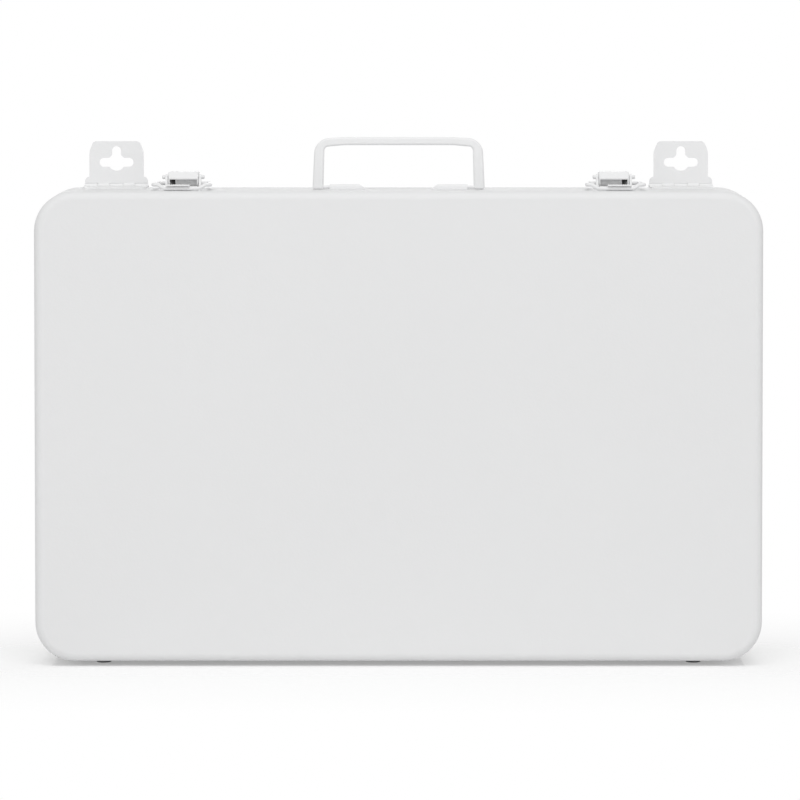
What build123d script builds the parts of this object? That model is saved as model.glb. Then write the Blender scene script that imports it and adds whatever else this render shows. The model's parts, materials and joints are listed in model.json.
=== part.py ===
from build123d import *
import math
import os

# First aid box of drawn sheet steel. It opens like a suitcase on two hinges under its bottom,
# is shut by two draw latches on its top, hangs on a wall by two folding keyhole plates, and is
# carried by a folding handle.
# Millimetres. +X is to the right, +Y to the back and +Z up. The origin is on the floor, under
# the middle of the case. Distances called "depth" are measured back from the front face, and
# heights called "rise" are measured up from the flat top of the case.

# Case
BOX_W = 368.3
BOX_H = 238.1
BOX_D = 70.0
SHEET = 0.8
CORNER_R = 20.0
EDGE_R = 4.0
LID_DEPTH = 27.0
SEAM_GAP = 1.2
NECK_OVERLAP = 6.0
NECK_CLEARANCE = 0.3

# Stuck-on rubber feet, which hold the case clear of its hinge barrels
FOOT_H = 2.5
FOOT_ROOT_R = 4.2
FOOT_TIP_R = 3.6
FOOT_EDGE_R = 0.4
FOOT_END = 34.0
LID_FOOT_DEPTH = 21.5
BASE_FOOT_DEPTH = 58.0

# Seal around the neck
SEAL_T = 1.0
SEAL_INSET = 0.15

# Rolled hinge stock, the same for the lid hinges and the hanger hinges
LEAF_T = 0.7
BARREL_R = 1.3
HINGE_PIN_R = 0.6
HINGE_PIN_CLEARANCE = 0.05
HINGE_PIN_END = 0.4
KNUCKLE_GAP = 0.25
BARREL_CLEARANCE = 0.25

# Lid hinges. An END is a distance from the nearer end of the case.
LID_HINGE_END = 74.0
LID_HINGE_KNUCKLES = [9.8, 9.8, 9.8, 9.8, 9.8]
LID_HINGE_DROP = 0.9
LID_LEAF_REACH = 13.0
BASE_LEAF_REACH = 14.0
LEAF_CORNER_R = 2.0

# Wall hangers
HANGER_END = 38.65
HANGER_KNUCKLES = [6.5, 6.0, 6.5, 6.0, 6.5]
HANGER_AXIS_RISE = 0.65
HANGER_LEAF_REACH = 24.0
HANGER_PLATE_W = 28.1
HANGER_PLATE_RISE = 23.7
HANGER_SHOULDER_RISE = 5.5
HANGER_SHOULDER_R = 2.6
HANGER_CORNER_IN = 2.1
HANGER_CORNER_DROP = 5.5
HANGER_CORNER_R = 2.5
HANGER_SIDE_R = 8.0
KEYHOLE_RISE = 12.8
KEYHOLE_R = 4.3
KEYHOLE_SLOT_W = 4.5
KEYHOLE_SLOT_UP = 6.0
KEYHOLE_SLOT_SIDE = 6.5
KEYHOLE_NOTCH_R = 1.2

# Handle, stamped from flat stock with rounded edges and two turned pivots
HANDLE_DEPTH = 33.5
HANDLE_T = 2.3
HANDLE_EDGE_R = 1.1
HANDLE_AXIS_RISE = 1.25
HANDLE_FOOT_W = 87.8
HANDLE_TOP_W = 85.4
HANDLE_RISE = 26.7
HANDLE_SHOULDER_DROP = 0.9
HANDLE_SHOULDER_W = 56.0
HANDLE_LEG_FOOT_T = 5.6
HANDLE_LEG_TOP_T = 4.9
HANDLE_BAR_T = 4.1
HANDLE_CORNER_R = 8.0
HANDLE_INNER_R = 2.2
HANDLE_SHOULDER_R = 25.0
HANDLE_FOOT_R = 1.3
PIVOT_R = 0.85
PIVOT_INNER_X = 21.2

# Saddle clips that hold the handle's pivots down
CLIP_T = 0.5
CLIP_CLEARANCE = 0.05
CLIP_OUTER_X = 35.2
CLIP_INNER_X = 19.8
CLIP_NOSE_X = 16.8
CLIP_FLANGE_W = 9.4

# Draw latches
LATCH_END = 74.15
LATCH_FLAT_T = 0.8
LATCH_BRACKET_DEPTH = 37.5
LATCH_BRACKET_LENGTH = 20.5
EAR_T = 1.2
EAR_LENGTH = 7.4
EAR_FOOT_RISE = 1.4
EAR_TOP_R = 1.5
LEVER_AXIS_DEPTH = 41.6
LEVER_AXIS_RISE = 6.1
LEVER_W = 15.4
LEVER_T = 0.8
LEVER_GAP = 0.25
LEVER_NOSE_DEPTH = 38.4
LEVER_NOSE_RISE = 5.4
LEVER_BROW_DEPTH = 41.2
LEVER_BROW_RISE = 8.8
LEVER_CHIN_DEPTH = 39.4
LEVER_CHIN_RISE = 2.4
LEVER_END_DEPTH = 60.0
LEVER_END_RISE = 8.6
LEVER_TIP_T = 2.0
LEVER_SKIRT_RISE = 1.15
LEVER_SKIRT_END_DEPTH = 50.5
LEVER_WEB_DEPTH = 43.6
LEVER_WEB_RISE = 1.6
LEVER_NOTCH_W = 2.7
LEVER_NOTCH_RISE = 4.9
LEVER_BROW_R = 0.8
LEVER_RIDGE_R = 0.6
LEVER_CORNER_R = 1.8
LEVER_PIN_R = 0.85
LEVER_PIN_HEAD_R = 1.05
LEVER_PIN_HEAD_T = 1.7
LEVER_PIN_DOME_R = 0.6
PIN_CLEARANCE = 0.05
PIN_SEAT_CLEARANCE = 0.02

# Bail wire of the latch
BAIL_R = 1.0
BAIL_AXIS_DEPTH = 47.5
BAIL_AXIS_RISE = 2.7
BAIL_END_X = 6.2
BAIL_HEEL_X = 13.0
BAIL_CORNER_X = 14.5
BAIL_CORNER_DEPTH = 16.6
BAIL_CORNER_RISE = 3.0
BAIL_SHOULDER_X = 12.0
BAIL_SHOULDER_DEPTH = 16.0
BAIL_HOOK_X = 9.0
BAIL_HOOK_DEPTH = 14.0
BAIL_HOOK_RISE = 1.15
BAIL_HEEL_R = 1.7
BAIL_CORNER_R = 1.7
BAIL_SHOULDER_R = 1.6
BAIL_HOOK_R = 2.5

# Keeper on the lid, set a little further out than its latch
KEEPER_END = 72.35
KEEPER_T = 0.8
KEEPER_CLEARANCE = 0.15
KEEPER_LIP_W = 11.7
KEEPER_PLATE_W = 14.0
KEEPER_LIP_DEPTH = 12.0
KEEPER_PLATE_END_DEPTH = 22.0
KEEPER_BEND_R = 1.0

# Rivets of the latch brackets and keepers
RIVET_R = 1.5
RIVET_HEAD_R = 1.9
RIVET_HEAD_T = 0.8
RIVET_TAIL_R = 1.9
RIVET_TAIL_T = 0.6
RIVET_CLEARANCE = 0.03
KEEPER_RIVET_X = 4.8
KEEPER_RIVET_DEPTH = 18.2
BRACKET_RIVET_DEPTHS = [47.5, 54.0]

# Places worked out from the sizes above
FRONT = -BOX_D / 2
BACK = BOX_D / 2
BOTTOM = FOOT_H
TOP = FOOT_H + BOX_H
MID_Z = (BOTTOM + TOP) / 2
LID_RIM_Y = FRONT + LID_DEPTH
SHOULDER_Y = LID_RIM_Y + SEAM_GAP
NECK_Y = LID_RIM_Y - NECK_OVERLAP
NECK_INSET = SHEET + NECK_CLEARANCE
LID_AXIS_Y = LID_RIM_Y + SEAM_GAP / 2
LID_AXIS_Z = BOTTOM - LID_HINGE_DROP
FOOT_X = BOX_W / 2 - FOOT_END
LID_HINGE_X = BOX_W / 2 - LID_HINGE_END
HANGER_X = BOX_W / 2 - HANGER_END
LATCH_X = BOX_W / 2 - LATCH_END
KEEPER_X = BOX_W / 2 - KEEPER_END
HANGER_AXIS_Y = BACK - BARREL_R
HANGER_AXIS_Z = TOP + HANGER_AXIS_RISE
SIDES = {"left": -1, "right": 1}


def save(shape, name):
    """Write one sub-part."""
    export_step(shape, f"parts/{name}.step")


def rod_x(x_from, x_to, y, z, radius):
    """Round bar along X."""
    return Pos((x_from + x_to) / 2, y, z) * Rot(0, 90, 0) * Cylinder(radius, x_to - x_from)


def slab(x_from, x_to, y_from, y_to, z_from, z_to):
    """Square block between two corners."""
    middle = Pos((x_from + x_to) / 2, (y_from + y_to) / 2, (z_from + z_to) / 2)
    return middle * Box(x_to - x_from, y_to - y_from, z_to - z_from)


def side_profile(points, x_from, x_to):
    """Prism along X whose outline is a list of (depth, rise) points."""
    plane = Plane(origin=(x_from, FRONT, TOP), x_dir=(0, 1, 0), z_dir=(1, 0, 0))
    return extrude(plane * make_face(Polyline(*points, close=True)), x_to - x_from)


def upright_hole(x, depth, radius, rise_from, rise_to):
    """Round bar along Z, for a hole or a shank through the top."""
    middle = Pos(x, FRONT + depth, TOP + (rise_from + rise_to) / 2)
    return middle * Cylinder(radius, rise_to - rise_from)


# Case shells
def case_block(y_a, y_b, inset=0.0):
    """Solid with the case's outline, drawn in by inset, between two Y planes."""
    plane = Plane(origin=(0, min(y_a, y_b), MID_Z), x_dir=(1, 0, 0), z_dir=(0, 1, 0))
    outline = RectangleRounded(BOX_W - 2 * inset, BOX_H - 2 * inset, CORNER_R - inset)
    return extrude(plane * outline, abs(y_b - y_a))


def round_edges_at(solid, y, radius):
    """Round the outline where the solid ends at this Y."""
    return fillet(solid.edges().filter_by_position(Axis.Y, y - 0.01, y + 0.01), radius)


def drawn_tray(closed_y, rim_y):
    """Drawn tray with its closed face at closed_y and its open rim at rim_y."""
    inner_y = closed_y + (SHEET if rim_y > closed_y else -SHEET)
    outer = round_edges_at(case_block(closed_y, rim_y), closed_y, EDGE_R)
    inner = round_edges_at(case_block(inner_y, rim_y, SHEET), inner_y, EDGE_R - SHEET)
    return outer - inner


def make_foot(side, depth):
    """Rubber foot under one corner of the case."""
    foot = Pos(side * FOOT_X, FRONT + depth, FOOT_H / 2) * Cone(FOOT_TIP_R, FOOT_ROOT_R, FOOT_H)
    return fillet(foot.edges().group_by(Axis.Z)[0], FOOT_EDGE_R)


def clear_lid_barrels(shape):
    """Relieve an edge at the seam for the barrels of the lid hinges."""
    length = sum(LID_HINGE_KNUCKLES) + KNUCKLE_GAP * (len(LID_HINGE_KNUCKLES) + 1)
    for side in SIDES.values():
        middle = side * LID_HINGE_X
        shape -= rod_x(middle - length / 2, middle + length / 2, LID_AXIS_Y, LID_AXIS_Z,
                       BARREL_R + BARREL_CLEARANCE)
    return shape


def keeper_rivet_places(side):
    """X and depth of a keeper's two rivets."""
    centre = side * KEEPER_X
    return [(centre - KEEPER_RIVET_X, KEEPER_RIVET_DEPTH),
            (centre + KEEPER_RIVET_X, KEEPER_RIVET_DEPTH)]


def bracket_rivet_places(side):
    """X and depth of a latch bracket's rivets."""
    return [(side * LATCH_X, depth) for depth in BRACKET_RIVET_DEPTHS]


def drill(shape, places, rise_from, rise_to):
    """Drill the rivet holes."""
    for x, depth in places:
        shape -= upright_hole(x, depth, RIVET_R + RIVET_CLEARANCE, rise_from, rise_to)
    return shape


def make_lid_shell():
    """Front shell: the plain face and its skirt."""
    shell = drawn_tray(FRONT, LID_RIM_Y)
    for side in SIDES.values():
        shell = drill(shell, keeper_rivet_places(side), -2 * SHEET, SHEET)
    return clear_lid_barrels(shell)


def make_base_shell():
    """Back shell, with a shoulder and a neck that enters the lid."""
    shell = drawn_tray(BACK, SHOULDER_Y)
    inside = case_block(NECK_Y, SHOULDER_Y + SHEET, NECK_INSET + SHEET)
    shell += case_block(SHOULDER_Y, SHOULDER_Y + SHEET) - inside
    shell += case_block(NECK_Y, SHOULDER_Y + SHEET, NECK_INSET) - inside
    for side in SIDES.values():
        shell = drill(shell, bracket_rivet_places(side), -2 * SHEET, SHEET)
    return clear_lid_barrels(shell)


def make_seal():
    """Rubber band around the neck, against the shoulder."""
    band = case_block(SHOULDER_Y - SEAL_T, SHOULDER_Y, SEAL_INSET)
    band -= case_block(SHOULDER_Y - SEAL_T, SHOULDER_Y, NECK_INSET)
    return clear_lid_barrels(band)


# Butt hinges
def knuckle_spans(centre, widths):
    """X span of each knuckle, from left to right."""
    x = centre - (sum(widths) + KNUCKLE_GAP * (len(widths) - 1)) / 2
    spans = []
    for width in widths:
        spans.append((x, x + width))
        x += width + KNUCKLE_GAP
    return spans


def roll_leaf(leaf, own, others, y, z):
    """Roll a leaf's knuckles on it, clear it for the other leaf's and bore it for the pin."""
    for x_from, x_to in others:
        leaf -= rod_x(x_from - KNUCKLE_GAP, x_to + KNUCKLE_GAP, y, z, BARREL_R + BARREL_CLEARANCE)
    for x_from, x_to in own:
        leaf += rod_x(x_from, x_to, y, z, BARREL_R)
    bore_from = min(own[0][0], others[0][0]) - KNUCKLE_GAP
    bore_to = max(own[-1][1], others[-1][1]) + KNUCKLE_GAP
    return leaf - rod_x(bore_from, bore_to, y, z, HINGE_PIN_R + HINGE_PIN_CLEARANCE)


def hinge_pin(spans, y, z):
    """Pin through all the knuckles."""
    return rod_x(spans[0][0] - HINGE_PIN_END, spans[-1][1] + HINGE_PIN_END, y, z, HINGE_PIN_R)


def flat_leaf(spans, y_from, y_to, z_from, free_y):
    """Flat leaf over all the knuckles, with its two free corners rounded."""
    leaf = slab(spans[0][0], spans[-1][1], y_from, y_to, z_from, z_from + LEAF_T)
    corners = leaf.edges().filter_by(Axis.Z).filter_by_position(Axis.Y, free_y - 0.01, free_y + 0.01)
    return fillet(corners, LEAF_CORNER_R)


def make_lid_hinge(side):
    """Lid leaf, base leaf and pin of one hinge under the case."""
    spans = knuckle_spans(side * LID_HINGE_X, LID_HINGE_KNUCKLES)
    z = BOTTOM - LEAF_T
    base_end = LID_AXIS_Y + BASE_LEAF_REACH
    lid_end = LID_AXIS_Y - LID_LEAF_REACH
    base_leaf = flat_leaf(spans, LID_AXIS_Y, base_end, z, base_end)
    lid_leaf = flat_leaf(spans, lid_end, LID_AXIS_Y, z, lid_end)
    base_leaf = roll_leaf(base_leaf, spans[0::2], spans[1::2], LID_AXIS_Y, LID_AXIS_Z)
    lid_leaf = roll_leaf(lid_leaf, spans[1::2], spans[0::2], LID_AXIS_Y, LID_AXIS_Z)
    return lid_leaf, base_leaf, hinge_pin(spans, LID_AXIS_Y, LID_AXIS_Z)


# Wall hangers
def keyhole_cutter(x):
    """Round hole with slots up and to both sides, through the hanger plate."""
    z = TOP + KEYHOLE_RISE
    slot_r = KEYHOLE_SLOT_W / 2
    plane = Plane(origin=(x, BACK + LEAF_T, z), x_dir=(1, 0, 0), z_dir=(0, -1, 0))
    shape = Circle(KEYHOLE_R)
    shape += Pos(0, KEYHOLE_SLOT_UP / 2) * Rectangle(KEYHOLE_SLOT_W, KEYHOLE_SLOT_UP)
    shape += Pos(0, KEYHOLE_SLOT_UP) * Circle(slot_r)
    shape += Rectangle(2 * KEYHOLE_SLOT_SIDE, KEYHOLE_SLOT_W)
    for hand in SIDES.values():
        shape += Pos(hand * KEYHOLE_SLOT_SIDE, 0) * Circle(slot_r)
    notches = [v for v in shape.vertices() if Vector(v.X, v.Y).length < KEYHOLE_R + 0.01]
    shape = fillet(notches, KEYHOLE_NOTCH_R)
    return extrude(plane * shape, 3 * LEAF_T)


def hanger_blade(x):
    """Upright part of the keyhole plate, with slanting top corners."""
    half = HANGER_PLATE_W / 2
    top_z = TOP + HANGER_PLATE_RISE
    corners = [(-half, HANGER_AXIS_Z, 0), (-half, top_z - HANGER_CORNER_DROP, HANGER_SIDE_R),
               (-half + HANGER_CORNER_IN, top_z, HANGER_CORNER_R)]
    corners += [(-dx, z, radius) for dx, z, radius in reversed(corners)]
    line = FilletPolyline(*[(dx, z) for dx, z, _ in corners],
                          radius=[radius for _, _, radius in corners], close=True)
    plane = Plane(origin=(x, BACK, 0), x_dir=(1, 0, 0), z_dir=(0, -1, 0))
    return extrude(plane * make_face(line), LEAF_T)


def make_hanger(side):
    """Fixed leaf, keyhole plate and pin of one hanger."""
    x = side * HANGER_X
    spans = knuckle_spans(x, HANGER_KNUCKLES)
    leaf_end = HANGER_AXIS_Y - HANGER_LEAF_REACH
    leaf = flat_leaf(spans, leaf_end, HANGER_AXIS_Y, TOP, leaf_end)
    leaf = roll_leaf(leaf, spans[0::2], spans[1::2], HANGER_AXIS_Y, HANGER_AXIS_Z)
    shoulder = slab(spans[0][0], spans[-1][1], BACK - LEAF_T, BACK,
                    HANGER_AXIS_Z, TOP + HANGER_SHOULDER_RISE)
    shoulder = fillet(shoulder.edges().filter_by(Axis.Y).group_by(Axis.Z)[-1], HANGER_SHOULDER_R)
    plate = roll_leaf(shoulder + hanger_blade(x), spans[1::2], spans[0::2], HANGER_AXIS_Y, HANGER_AXIS_Z)
    plate -= keyhole_cutter(x)
    return leaf, plate, hinge_pin(spans, HANGER_AXIS_Y, HANGER_AXIS_Z)


# Handle
def make_handle():
    """Flat handle with rounded edges, and a pivot turned in from each foot."""
    y = FRONT + HANDLE_DEPTH
    foot_x = HANDLE_FOOT_W / 2
    top_x = HANDLE_TOP_W / 2
    shoulder_x = HANDLE_SHOULDER_W / 2
    foot_z = TOP + HANDLE_AXIS_RISE - HANDLE_T / 2
    top_z = TOP + HANDLE_RISE
    shoulder_z = top_z - HANDLE_SHOULDER_DROP
    inner_z = top_z - HANDLE_BAR_T
    half = [(foot_x, foot_z, HANDLE_FOOT_R),
            (top_x, shoulder_z, HANDLE_CORNER_R),
            (shoulder_x, top_z, HANDLE_SHOULDER_R)]
    inner = [(shoulder_x, inner_z, HANDLE_SHOULDER_R),
             (top_x - HANDLE_LEG_TOP_T, inner_z - HANDLE_SHOULDER_DROP, HANDLE_INNER_R),
             (foot_x - HANDLE_LEG_FOOT_T, foot_z, HANDLE_FOOT_R)]
    right = half + [(-x, z, r) for x, z, r in reversed(half)]
    left = [(-x, z, r) for x, z, r in reversed(inner)] + inner
    corners = right + left
    line = FilletPolyline(*[(x, z) for x, z, _ in corners],
                          radius=[r for _, _, r in corners], close=True)
    plane = Plane(origin=(0, y, 0), x_dir=(1, 0, 0), z_dir=(0, -1, 0))
    handle = extrude(plane * make_face(line), HANDLE_T / 2, both=True)
    for face_y in (y - HANDLE_T / 2, y + HANDLE_T / 2):
        handle = round_edges_at(handle, face_y, HANDLE_EDGE_R)
    for side in SIDES.values():
        ends = sorted([side * PIVOT_INNER_X, side * (foot_x - HANDLE_LEG_FOOT_T / 2)])
        handle += rod_x(ends[0], ends[1], y, TOP + HANDLE_AXIS_RISE, PIVOT_R)
    return handle


def make_handle_clip(side):
    """Sheet saddle over one pivot, with two flanges and a sloping closed nose."""
    y = FRONT + HANDLE_DEPTH
    z = TOP + HANDLE_AXIS_RISE
    bore = PIVOT_R + CLIP_CLEARANCE
    hump = bore + CLIP_T
    clip = rod_x(CLIP_NOSE_X, CLIP_OUTER_X, y, z, hump)
    clip += slab(CLIP_NOSE_X, CLIP_OUTER_X, y - hump, y + hump, TOP, z)
    clip -= slab(CLIP_NOSE_X, CLIP_OUTER_X, y - hump, y + hump, z - 2 * hump, TOP)
    slope = [(CLIP_INNER_X, z + hump), (CLIP_NOSE_X, TOP + CLIP_T), (CLIP_NOSE_X, z + hump)]
    plane = Plane(origin=(0, y, 0), x_dir=(1, 0, 0), z_dir=(0, -1, 0))
    clip -= extrude(plane * make_face(Polyline(*slope, close=True)), hump, both=True)
    clip += slab(CLIP_INNER_X, CLIP_OUTER_X, y - CLIP_FLANGE_W / 2, y + CLIP_FLANGE_W / 2,
                 TOP, TOP + CLIP_T)
    channel_x = CLIP_INNER_X + CLIP_T
    clip -= rod_x(channel_x, CLIP_OUTER_X, y, z, bore)
    clip -= slab(channel_x, CLIP_OUTER_X, y - bore, y + bore, TOP, z)
    return clip if side > 0 else mirror(clip, Plane.YZ)


# Draw latches
def make_latch_bracket(side):
    """Flat riveted to the base, with an ear at each side for the lever's pin."""
    x = side * LATCH_X
    half = LEVER_W / 2 + LEVER_GAP + EAR_T
    start = LATCH_BRACKET_DEPTH
    bracket = slab(x - half, x + half, FRONT + start, FRONT + start + LATCH_BRACKET_LENGTH,
                   TOP, TOP + LATCH_FLAT_T)
    bracket = fillet(bracket.edges().filter_by(Axis.Z).group_by(Axis.Y)[-1], LEAF_CORNER_R)
    axis_y = FRONT + LEVER_AXIS_DEPTH
    axis_z = TOP + LEVER_AXIS_RISE
    foot = [(start, 0), (start + EAR_LENGTH, 0), (start + EAR_LENGTH, EAR_FOOT_RISE),
            (LEVER_AXIS_DEPTH + EAR_TOP_R, LEVER_AXIS_RISE),
            (LEVER_AXIS_DEPTH - EAR_TOP_R, LEVER_AXIS_RISE), (start, EAR_FOOT_RISE)]
    for ear_from in (x - half, x + half - EAR_T):
        bracket += side_profile(foot, ear_from, ear_from + EAR_T)
        bracket += rod_x(ear_from, ear_from + EAR_T, axis_y, axis_z, EAR_TOP_R)
    bracket -= rod_x(x - half, x + half, axis_y, axis_z, LEVER_PIN_R + PIN_SEAT_CLEARANCE)
    return drill(bracket, bracket_rivet_places(side), -SHEET, 2 * LATCH_FLAT_T)


def lever_hollow(x):
    """Space inside the lever, one sheet thickness in from its front, top and back."""
    half = LEVER_W / 2 - LEVER_T
    run = LEVER_BROW_DEPTH - LEVER_NOSE_DEPTH
    climb = LEVER_BROW_RISE - LEVER_NOSE_RISE
    front_length = math.hypot(run, climb)
    inner_nose = (LEVER_NOSE_DEPTH + LEVER_T * climb / front_length,
                  LEVER_NOSE_RISE - LEVER_T * run / front_length)
    ceiling = LEVER_END_RISE - LEVER_T
    inner_brow = (inner_nose[0] + (ceiling - inner_nose[1]) * run / climb, ceiling)
    back_run = LEVER_END_DEPTH - LEVER_SKIRT_END_DEPTH
    back_climb = LEVER_END_RISE - LEVER_TIP_T - LEVER_SKIRT_RISE
    back_length = math.hypot(back_run, back_climb)
    inner_heel = (LEVER_SKIRT_END_DEPTH - LEVER_T * back_climb / back_length,
                  LEVER_SKIRT_RISE + LEVER_T * back_run / back_length)
    end_depth = LEVER_END_DEPTH - 2 * LEVER_T
    inner_end = (end_depth, inner_heel[1] + (end_depth - inner_heel[0]) * back_climb / back_run)
    outline = [(inner_nose[0] - LEVER_END_DEPTH, inner_nose[1]), inner_nose, inner_brow,
               (end_depth, ceiling), inner_end, inner_heel, (inner_heel[0], -LEVER_T),
               (inner_nose[0] - LEVER_END_DEPTH, -LEVER_T)]
    return side_profile(outline, x - half, x + half)


def lever_web(side):
    """Stiffening web across the lever behind its pin, notched beside the outer cheek."""
    x = side * LATCH_X
    half = LEVER_W / 2
    y = FRONT + LEVER_WEB_DEPTH
    web = slab(x - half + LEVER_T / 2, x + half - LEVER_T / 2, y, y + LEVER_T,
               TOP + LEVER_WEB_RISE, TOP + LEVER_END_RISE - LEVER_T / 2)
    cheek_x = x + side * (half - LEVER_T)
    notch = sorted([cheek_x, cheek_x - side * LEVER_NOTCH_W])
    return web - slab(*notch, y, y + LEVER_T, TOP, TOP + LEVER_NOTCH_RISE)


def make_lever(side):
    """Channel lever, closed by a slanting front, a top and a slanting back under its finger tip."""
    x = side * LATCH_X
    half = LEVER_W / 2
    under_tip = LEVER_END_RISE - LEVER_TIP_T
    outline = [(LEVER_NOSE_DEPTH, LEVER_NOSE_RISE), (LEVER_CHIN_DEPTH, LEVER_CHIN_RISE),
               (LEVER_AXIS_DEPTH, LEVER_SKIRT_RISE), (LEVER_SKIRT_END_DEPTH, LEVER_SKIRT_RISE),
               (LEVER_END_DEPTH, under_tip), (LEVER_END_DEPTH, LEVER_END_RISE),
               (LEVER_BROW_DEPTH, LEVER_BROW_RISE)]
    lever = side_profile(outline, x - half, x + half)
    lever = fillet(lever.edges().filter_by(Axis.Z).group_by(Axis.Y)[-1], LEVER_CORNER_R)
    brow = lever.edges().filter_by(Axis.X).sort_by(Axis.Z)[-1]
    lever = fillet(brow, LEVER_BROW_R)
    crown = lever.faces().sort_by(lambda face: face.normal_at().Z)[-1]
    ridges = crown.edges().sort_by(Axis.Y)[1:]
    lever = fillet(ridges, LEVER_RIDGE_R)
    lever -= lever_hollow(x)
    lever += lever_web(side)
    for depth, rise, radius in ((LEVER_AXIS_DEPTH, LEVER_AXIS_RISE, LEVER_PIN_R),
                                (BAIL_AXIS_DEPTH, BAIL_AXIS_RISE, BAIL_R)):
        lever -= rod_x(x - half, x + half, FRONT + depth, TOP + rise, radius + PIN_CLEARANCE)
    return lever


def make_lever_pin(side):
    """Headed pin through the ears and the lever."""
    x = side * LATCH_X
    half = LEVER_W / 2 + LEVER_GAP + EAR_T
    axis_y = FRONT + LEVER_AXIS_DEPTH
    axis_z = TOP + LEVER_AXIS_RISE
    pin = rod_x(x - half, x + half, axis_y, axis_z, LEVER_PIN_R)
    for head_from in (x - half - LEVER_PIN_HEAD_T, x + half):
        head = rod_x(head_from, head_from + LEVER_PIN_HEAD_T, axis_y, axis_z, LEVER_PIN_HEAD_R)
        outer_x = head_from if head_from < x else head_from + LEVER_PIN_HEAD_T
        rim = head.edges().filter_by_position(Axis.X, outer_x - 0.01, outer_x + 0.01)
        pin += fillet(rim, LEVER_PIN_DOME_R)
    return pin


def make_bail(side):
    """Bent wire loop: its ends turn into the lever, its middle dips under the keeper's lip."""
    x = side * LATCH_X
    half = [(BAIL_END_X, BAIL_AXIS_DEPTH, BAIL_AXIS_RISE),
            (BAIL_HEEL_X, BAIL_AXIS_DEPTH, BAIL_AXIS_RISE),
            (BAIL_CORNER_X, BAIL_CORNER_DEPTH, BAIL_CORNER_RISE),
            (BAIL_SHOULDER_X, BAIL_SHOULDER_DEPTH, BAIL_CORNER_RISE),
            (BAIL_HOOK_X, BAIL_HOOK_DEPTH, BAIL_HOOK_RISE)]
    route = half + [(-dx, depth, rise) for dx, depth, rise in reversed(half)]
    points = [(x + dx, FRONT + depth, TOP + rise) for dx, depth, rise in route]
    radii = [BAIL_HEEL_R, BAIL_CORNER_R, BAIL_SHOULDER_R, BAIL_HOOK_R]
    path = FilletPolyline(*points, radius=radii + radii[::-1])
    section = Plane(origin=path @ 0, z_dir=path % 0) * Circle(BAIL_R)
    return sweep(section, path)


def make_keeper(side):
    """Hooked keeper on the lid: the bail's wire lies in front of its wall, under its lip."""
    x = side * KEEPER_X
    wall = BAIL_HOOK_DEPTH + BAIL_R + KEEPER_CLEARANCE
    lip_rise = BAIL_HOOK_RISE + BAIL_R + KEEPER_CLEARANCE
    outline = [(wall, 0), (wall + KEEPER_T, 0), (wall + KEEPER_T, lip_rise + KEEPER_T),
               (KEEPER_LIP_DEPTH, lip_rise + KEEPER_T), (KEEPER_LIP_DEPTH, lip_rise),
               (wall, lip_rise)]
    hook = side_profile(outline, x - KEEPER_LIP_W / 2, x + KEEPER_LIP_W / 2)
    bend_y = FRONT + wall + KEEPER_T
    bend_z = TOP + lip_rise + KEEPER_T
    bend = hook.edges().filter_by(Axis.X)
    bend = bend.filter_by_position(Axis.Y, bend_y - 0.01, bend_y + 0.01)
    bend = bend.filter_by_position(Axis.Z, bend_z - 0.01, bend_z + 0.01)
    hook = fillet(bend, KEEPER_BEND_R)
    plate = slab(x - KEEPER_PLATE_W / 2, x + KEEPER_PLATE_W / 2, FRONT + wall,
                 FRONT + KEEPER_PLATE_END_DEPTH, TOP, TOP + KEEPER_T)
    plate = fillet(plate.edges().filter_by(Axis.Z), KEEPER_BEND_R)
    keeper = hook + plate
    return drill(keeper, keeper_rivet_places(side), -SHEET, 2 * KEEPER_T)


def make_rivets(places, grip_rise):
    """Rivets through the top and a flat of this thickness, as separate solids."""
    rivets = []
    for x, depth in places:
        shank = upright_hole(x, depth, RIVET_R, -SHEET, grip_rise)
        head = upright_hole(x, depth, RIVET_HEAD_R, grip_rise, grip_rise + RIVET_HEAD_T)
        head = fillet(head.edges().group_by(Axis.Z)[-1], RIVET_HEAD_T * 0.7)
        tail = upright_hole(x, depth, RIVET_TAIL_R, -SHEET - RIVET_TAIL_T, -SHEET)
        rivets.append(shank + head + tail)
    return Compound(children=rivets)


def main():
    os.makedirs("parts", exist_ok=True)
    save(make_lid_shell(), "lid_shell")
    save(make_base_shell(), "base_shell")
    save(make_seal(), "seal")
    save(make_handle(), "handle")
    for name, side in SIDES.items():
        save(make_foot(side, LID_FOOT_DEPTH), f"lid_foot_{name}")
        save(make_foot(side, BASE_FOOT_DEPTH), f"base_foot_{name}")
        lid_leaf, base_leaf, lid_pin = make_lid_hinge(side)
        save(lid_leaf, f"lid_hinge_lid_leaf_{name}")
        save(base_leaf, f"lid_hinge_base_leaf_{name}")
        save(lid_pin, f"lid_hinge_pin_{name}")
        hanger_leaf, hanger_plate, hanger_pin = make_hanger(side)
        save(hanger_leaf, f"hanger_leaf_{name}")
        save(hanger_plate, f"hanger_plate_{name}")
        save(hanger_pin, f"hanger_pin_{name}")
        save(make_handle_clip(side), f"handle_clip_{name}")
        save(make_latch_bracket(side), f"latch_bracket_{name}")
        save(make_lever(side), f"latch_lever_{name}")
        save(make_lever_pin(side), f"latch_pin_{name}")
        save(make_bail(side), f"latch_bail_{name}")
        save(make_keeper(side), f"latch_keeper_{name}")
        save(make_rivets(bracket_rivet_places(side), LATCH_FLAT_T), f"bracket_rivets_{name}")
        save(make_rivets(keeper_rivet_places(side), KEEPER_T), f"keeper_rivets_{name}")


main()
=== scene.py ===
import json
import math

import bpy
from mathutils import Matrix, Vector

# White enamelled first aid box on a white ground, seen straight on from a little above its top.
# Metres. The case stands on z = 0, its front face looks along -Y.

# Case, as the frame has it: its front face and its top
FRONT_Y = -0.035
TOP_Z = 0.2406

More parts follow.
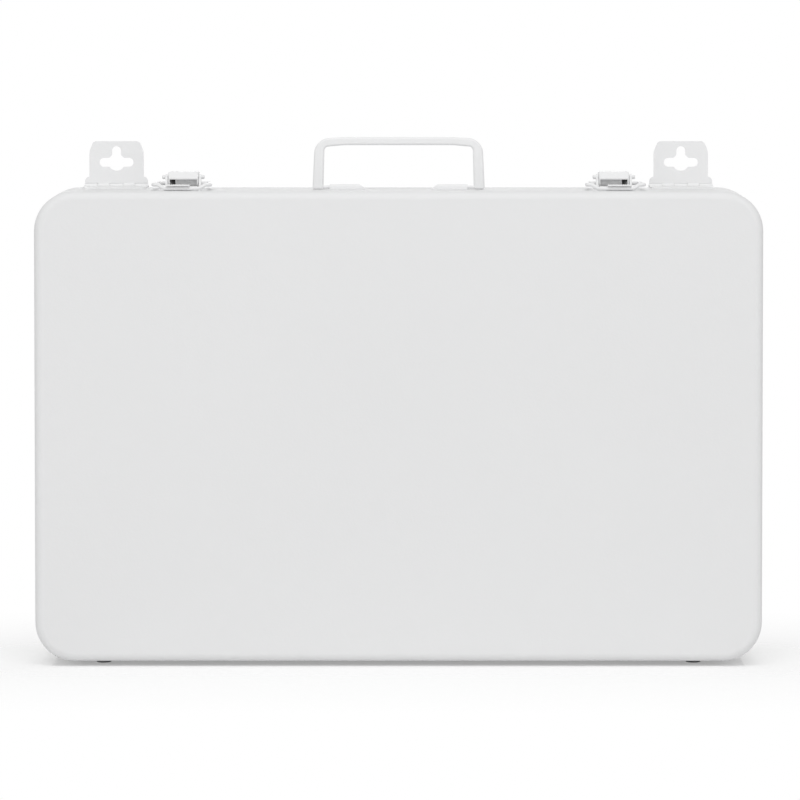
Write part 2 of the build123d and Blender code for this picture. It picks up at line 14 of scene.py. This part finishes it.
# Camera: far away with a long lens, so that the sides stay almost parallel
CAMERA_DISTANCE = 3.0
CAMERA_X = 0.0007
CAMERA_RISE = 0.1023
CAMERA_SHIFT_Y = -0.1
FRAME_WIDTH = 0.4026
FRAME_CENTRE_Z = 0.1354
SENSOR = 36.0
CLIP_NEAR = 0.05
CLIP_FAR = 50.0

# Daylight from all round, and the lamps: where each stands, where it points, its width and its watts
SKY = 0.42
CASE_MIDDLE = (0, 0, 0.12)
CASE_UPPER = (0, 0, 0.2)
LAMPS = {
    "front light": ((0.0, -2.6, 0.6), CASE_MIDDLE, 1.2, 6.5),
    "left light": ((-2.4, -1.6, 0.8), CASE_MIDDLE, 1.2, 9.0),
    "right light": ((2.4, -1.6, 0.8), CASE_MIDDLE, 1.2, 9.0),
    "top light": ((0.0, -1.2, 2.4), CASE_UPPER, 1.5, 28.0),
    "back light": ((0.0, 2.6, 0.9), CASE_MIDDLE, 1.5, 12.0),
}

# How much of the white world the ground lets through where it is looked at: half the width of the patch
# under the case, which is a little narrower than the case, the share on that patch, the share further out,
# the distance in metres over which it grows, and the power by which it grows. Chosen by greys.
PATCH_HALF_WIDTH = 0.175
CLEAR_UNDER = 0.33
CLEAR_OUT = 1.0
CLEAR_REACH = 0.2
CLEAR_RISE = 0.3

# Colours
ENAMEL = (0.78, 0.782, 0.785)
# Fittings: the case's white enamel painted a shade lighter, as painted light for the brighter light the
# fittings catch
FITTING_WITH_PAINTED_LIGHT = (0.83, 0.832, 0.835)
SEAL_RUBBER = (0.035, 0.035, 0.037)
FOOT_RUBBER = (0.30, 0.30, 0.30)
GROUND = (0.9, 0.9, 0.9)

# Enamel: roughness, its unevenness, strength of the gloss, and scale and height of the orange peel
CASE_ROUGHNESS = 0.65
FITTING_ROUGHNESS = 0.5
ROUGHNESS_SPREAD = 0.04
ENAMEL_SPECULAR = 0.1
ENAMEL_TONE = 0.012
CLOUD_SCALE = 9.0
CASE_PEEL = (900.0, 0.00012)
FITTING_PEEL = (1100.0, 0.0001)
PEEL_STRENGTH = 0.35

# Rubber: its grain, and how far that changes the tone and the roughness
GRAIN_SCALE = 700.0
GRAIN_HEIGHT = 0.0001
GRAIN_STRENGTH = 0.4
GRAIN_TONE = 0.15
RUBBER_ROUGHNESS = (0.7, 0.9)
FINE_DETAIL = 3.0

# Ground
GROUND_SIZE = 12.0
GROUND_ROUGHNESS = 0.9
GROUND_TONE = 0.01
GROUND_SCALE = 3.0


def new_material(name):
    """Empty node material, its tree and its Principled shader."""
    material = bpy.data.materials.new(name)
    material.use_nodes = True
    tree = material.node_tree
    return material, tree, tree.nodes["Principled BSDF"]


def noise(tree, scale, detail=2.0):
    """Noise in the object's own coordinates."""
    place = tree.nodes.new("ShaderNodeTexCoord")
    texture = tree.nodes.new("ShaderNodeTexNoise")
    texture.inputs["Scale"].default_value = scale
    texture.inputs["Detail"].default_value = detail
    tree.links.new(place.outputs["Object"], texture.inputs["Vector"])
    return texture


def remap(tree, value, low, high):
    """Map a 0 to 1 value onto low to high."""
    node = tree.nodes.new("ShaderNodeMapRange")
    node.inputs["To Min"].default_value = low
    node.inputs["To Max"].default_value = high
    tree.links.new(value, node.inputs["Value"])
    return node.outputs["Result"]


def two_tone(tree, shader, pattern, colour, tone):
    """Vary a base colour by a share of itself, darker and lighter."""
    mix = tree.nodes.new("ShaderNodeMix")
    mix.data_type = "RGBA"
    mix.inputs["A"].default_value = [c * (1 - tone) for c in colour] + [1]
    mix.inputs["B"].default_value = [c * (1 + tone) for c in colour] + [1]
    tree.links.new(pattern.outputs["Fac"], mix.inputs["Factor"])
    tree.links.new(mix.outputs["Result"], shader.inputs["Base Color"])


def relief(tree, shader, pattern, height, strength):
    """Bump from a pattern, its height in metres."""
    bump = tree.nodes.new("ShaderNodeBump")
    bump.inputs["Distance"].default_value = height
    bump.inputs["Strength"].default_value = strength
    tree.links.new(pattern.outputs["Fac"], bump.inputs["Height"])
    tree.links.new(bump.outputs["Normal"], shader.inputs["Normal"])


def paint(name, colour, roughness, peel):
    """Sprayed enamel: a slightly uneven tone and gloss over a fine orange peel."""
    material, tree, shader = new_material(name)
    cloud = noise(tree, CLOUD_SCALE)
    two_tone(tree, shader, cloud, colour, ENAMEL_TONE)
    low = roughness - ROUGHNESS_SPREAD
    high = roughness + ROUGHNESS_SPREAD
    tree.links.new(remap(tree, cloud.outputs["Fac"], low, high), shader.inputs["Roughness"])
    scale, height = peel
    relief(tree, shader, noise(tree, scale, FINE_DETAIL), height, PEEL_STRENGTH)
    shader.inputs["Specular IOR Level"].default_value = ENAMEL_SPECULAR
    return material


def rubber(name, colour):
    """Matt rubber with a fine grain."""
    material, tree, shader = new_material(name)
    grain = noise(tree, GRAIN_SCALE, FINE_DETAIL)
    two_tone(tree, shader, grain, colour, GRAIN_TONE)
    low, high = RUBBER_ROUGHNESS
    tree.links.new(remap(tree, grain.outputs["Fac"], low, high), shader.inputs["Roughness"])
    relief(tree, shader, grain, GRAIN_HEIGHT, GRAIN_STRENGTH)
    return material


def dress(frame):
    """Give each piece of the frame its finish."""
    finishes = {
        "case_paint": paint("case enamel", ENAMEL, CASE_ROUGHNESS, CASE_PEEL),
        # the fitting enamel is the case enamel painted lighter, as painted light
        "fitting_paint": paint("fitting enamel with painted light", FITTING_WITH_PAINTED_LIGHT, FITTING_ROUGHNESS, FITTING_PEEL),
        "rubber": rubber("seal rubber", SEAL_RUBBER),
        "foot_rubber": rubber("foot rubber", FOOT_RUBBER),
    }
    slots = {part["node"]: part["material_slot"] for part in frame["record"]["subparts"]}
    for name, piece in frame["nodes"].items():
        piece.data.materials.clear()
        piece.data.materials.append(finishes[slots[name]])


def show_to_camera(tree, shaded, plain, share=None):
    """Show the plain shader to the camera, glossy and transmission rays, and the shaded one to the rest.

    With a share, the camera and those rays get only that much of the plain one and the rest shaded.
    """
    path = tree.nodes.new("ShaderNodeLightPath")
    seen = path.outputs["Is Camera Ray"]
    for ray in ("Is Glossy Ray", "Is Transmission Ray"):
        either = tree.nodes.new("ShaderNodeMath")
        either.operation = "MAXIMUM"
        tree.links.new(seen, either.inputs[0])
        tree.links.new(path.outputs[ray], either.inputs[1])
        seen = either.outputs["Value"]
    if share is not None:
        part = tree.nodes.new("ShaderNodeMath")
        part.operation = "MULTIPLY"
        tree.links.new(seen, part.inputs[0])
        tree.links.new(share, part.inputs[1])
        seen = part.outputs["Value"]
    mix = tree.nodes.new("ShaderNodeMixShader")
    tree.links.new(seen, mix.inputs["Fac"])
    tree.links.new(shaded, mix.inputs[1])
    tree.links.new(plain, mix.inputs[2])
    return mix.outputs["Shader"]


def make_world():
    """Even soft daylight, white to the camera, in reflections and through the ground."""
    world = bpy.data.worlds.new("studio")
    world.use_nodes = True
    tree = world.node_tree
    tree.nodes.clear()
    light = tree.nodes.new("ShaderNodeBackground")
    light.inputs["Color"].default_value = (1, 1, 1, 1)
    light.inputs["Strength"].default_value = SKY
    white = tree.nodes.new("ShaderNodeBackground")
    white.inputs["Color"].default_value = (1, 1, 1, 1)
    white.inputs["Strength"].default_value = 1.0
    out = tree.nodes.new("ShaderNodeOutputWorld")
    shown = show_to_camera(tree, light.outputs["Background"], white.outputs["Background"])
    tree.links.new(shown, out.inputs["Surface"])
    bpy.context.scene.world = world


def math_node(tree, operation, first, second=0.0):
    """Math node on a socket and a number or socket."""
    node = tree.nodes.new("ShaderNodeMath")
    node.operation = operation
    tree.links.new(first, node.inputs[0])
    if isinstance(second, float):
        node.inputs[1].default_value = second
    else:
        tree.links.new(second, node.inputs[1])
    return node.outputs["Value"]


def beyond(tree, coordinate, half):
    """Square of how far a coordinate lies outside plus and minus half."""
    outside = math_node(tree, "SUBTRACT", math_node(tree, "ABSOLUTE", coordinate), half)
    return math_node(tree, "POWER", math_node(tree, "MAXIMUM", outside), 2.0)


def clear_share(tree):
    """Share of the ground that is clear, which grows with the distance from the patch under the case."""
    place = tree.nodes.new("ShaderNodeTexCoord")
    split = tree.nodes.new("ShaderNodeSeparateXYZ")
    tree.links.new(place.outputs["Object"], split.inputs["Vector"])
    beside = beyond(tree, split.outputs["X"], PATCH_HALF_WIDTH)
    away = beyond(tree, split.outputs["Y"], -FRONT_Y)
    away = math_node(tree, "SQRT", math_node(tree, "ADD", beside, away))
    away = math_node(tree, "MINIMUM", math_node(tree, "DIVIDE", away, CLEAR_REACH), 1.0)
    return remap(tree, math_node(tree, "POWER", away, CLEAR_RISE), CLEAR_UNDER, CLEAR_OUT)


def make_ground():
    """Pale ground that keeps the case's shadow.

    Seen from above it is partly clear, so that the white world and the opened lid below it show through.
    From underneath it is fully clear, which also lets the lamps reach the opened lid.
    """
    bpy.ops.mesh.primitive_plane_add(size=GROUND_SIZE, location=(0, 0, 0))
    ground = bpy.context.object
    ground.name = "ground"
    material, tree, shader = new_material("ground")
    two_tone(tree, shader, noise(tree, GROUND_SCALE), GROUND, GROUND_TONE)
    shader.inputs["Roughness"].default_value = GROUND_ROUGHNESS
    shader.inputs["Specular IOR Level"].default_value = 0.0
    clear = tree.nodes.new("ShaderNodeBsdfTransparent")
    clear.inputs["Color"].default_value = (1, 1, 1, 1)
    shown = show_to_camera(tree, shader.outputs["BSDF"], clear.outputs["BSDF"], clear_share(tree))
    side = tree.nodes.new("ShaderNodeNewGeometry")
    one_sided = tree.nodes.new("ShaderNodeMixShader")
    tree.links.new(side.outputs["Backfacing"], one_sided.inputs["Fac"])
    tree.links.new(shown, one_sided.inputs[1])
    tree.links.new(clear.outputs["BSDF"], one_sided.inputs[2])
    tree.links.new(one_sided.outputs["Shader"], tree.nodes["Material Output"].inputs["Surface"])
    ground.data.materials.append(material)


def area_light(name, place, target, size, power):
    """Square soft light aimed at a point."""
    data = bpy.data.lights.new(name, "AREA")
    data.size = size
    data.energy = power
    lamp = bpy.data.objects.new(name, data)
    lamp.location = place
    lamp.rotation_euler = (Vector(target) - Vector(place)).to_track_quat("-Z", "Y").to_euler()
    bpy.context.collection.objects.link(lamp)


def make_camera():
    """Long lens straight in front, with the photograph's framing."""
    height = TOP_Z + CAMERA_RISE
    drop = math.atan2(height - FRAME_CENTRE_Z, CAMERA_DISTANCE)
    tilt = drop + math.atan(CAMERA_SHIFT_Y * FRAME_WIDTH / CAMERA_DISTANCE)
    data = bpy.data.cameras.new("camera")
    data.sensor_width = SENSOR
    data.lens = SENSOR * CAMERA_DISTANCE / FRAME_WIDTH * math.cos(tilt)
    data.shift_y = CAMERA_SHIFT_Y
    data.clip_start = CLIP_NEAR
    data.clip_end = CLIP_FAR
    camera = bpy.data.objects.new("camera", data)
    camera.location = (CAMERA_X, FRONT_Y - CAMERA_DISTANCE, height)
    camera.rotation_euler = (math.pi / 2 - tilt, 0, 0)
    bpy.context.collection.objects.link(camera)
    bpy.context.scene.camera = camera


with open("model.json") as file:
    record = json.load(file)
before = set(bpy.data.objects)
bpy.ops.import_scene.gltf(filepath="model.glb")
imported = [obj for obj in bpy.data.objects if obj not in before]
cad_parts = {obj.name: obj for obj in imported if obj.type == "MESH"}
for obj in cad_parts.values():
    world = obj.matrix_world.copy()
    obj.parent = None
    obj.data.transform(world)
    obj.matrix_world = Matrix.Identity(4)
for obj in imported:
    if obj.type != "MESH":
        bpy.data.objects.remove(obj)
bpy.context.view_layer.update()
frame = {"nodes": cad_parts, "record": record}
dress(frame)
make_world()
make_ground()
for lamp_name, (place, target, size, power) in LAMPS.items():
    area_light(lamp_name, place, target, size, power)
make_camera()
bpy.context.scene.view_settings.view_transform = "Standard"
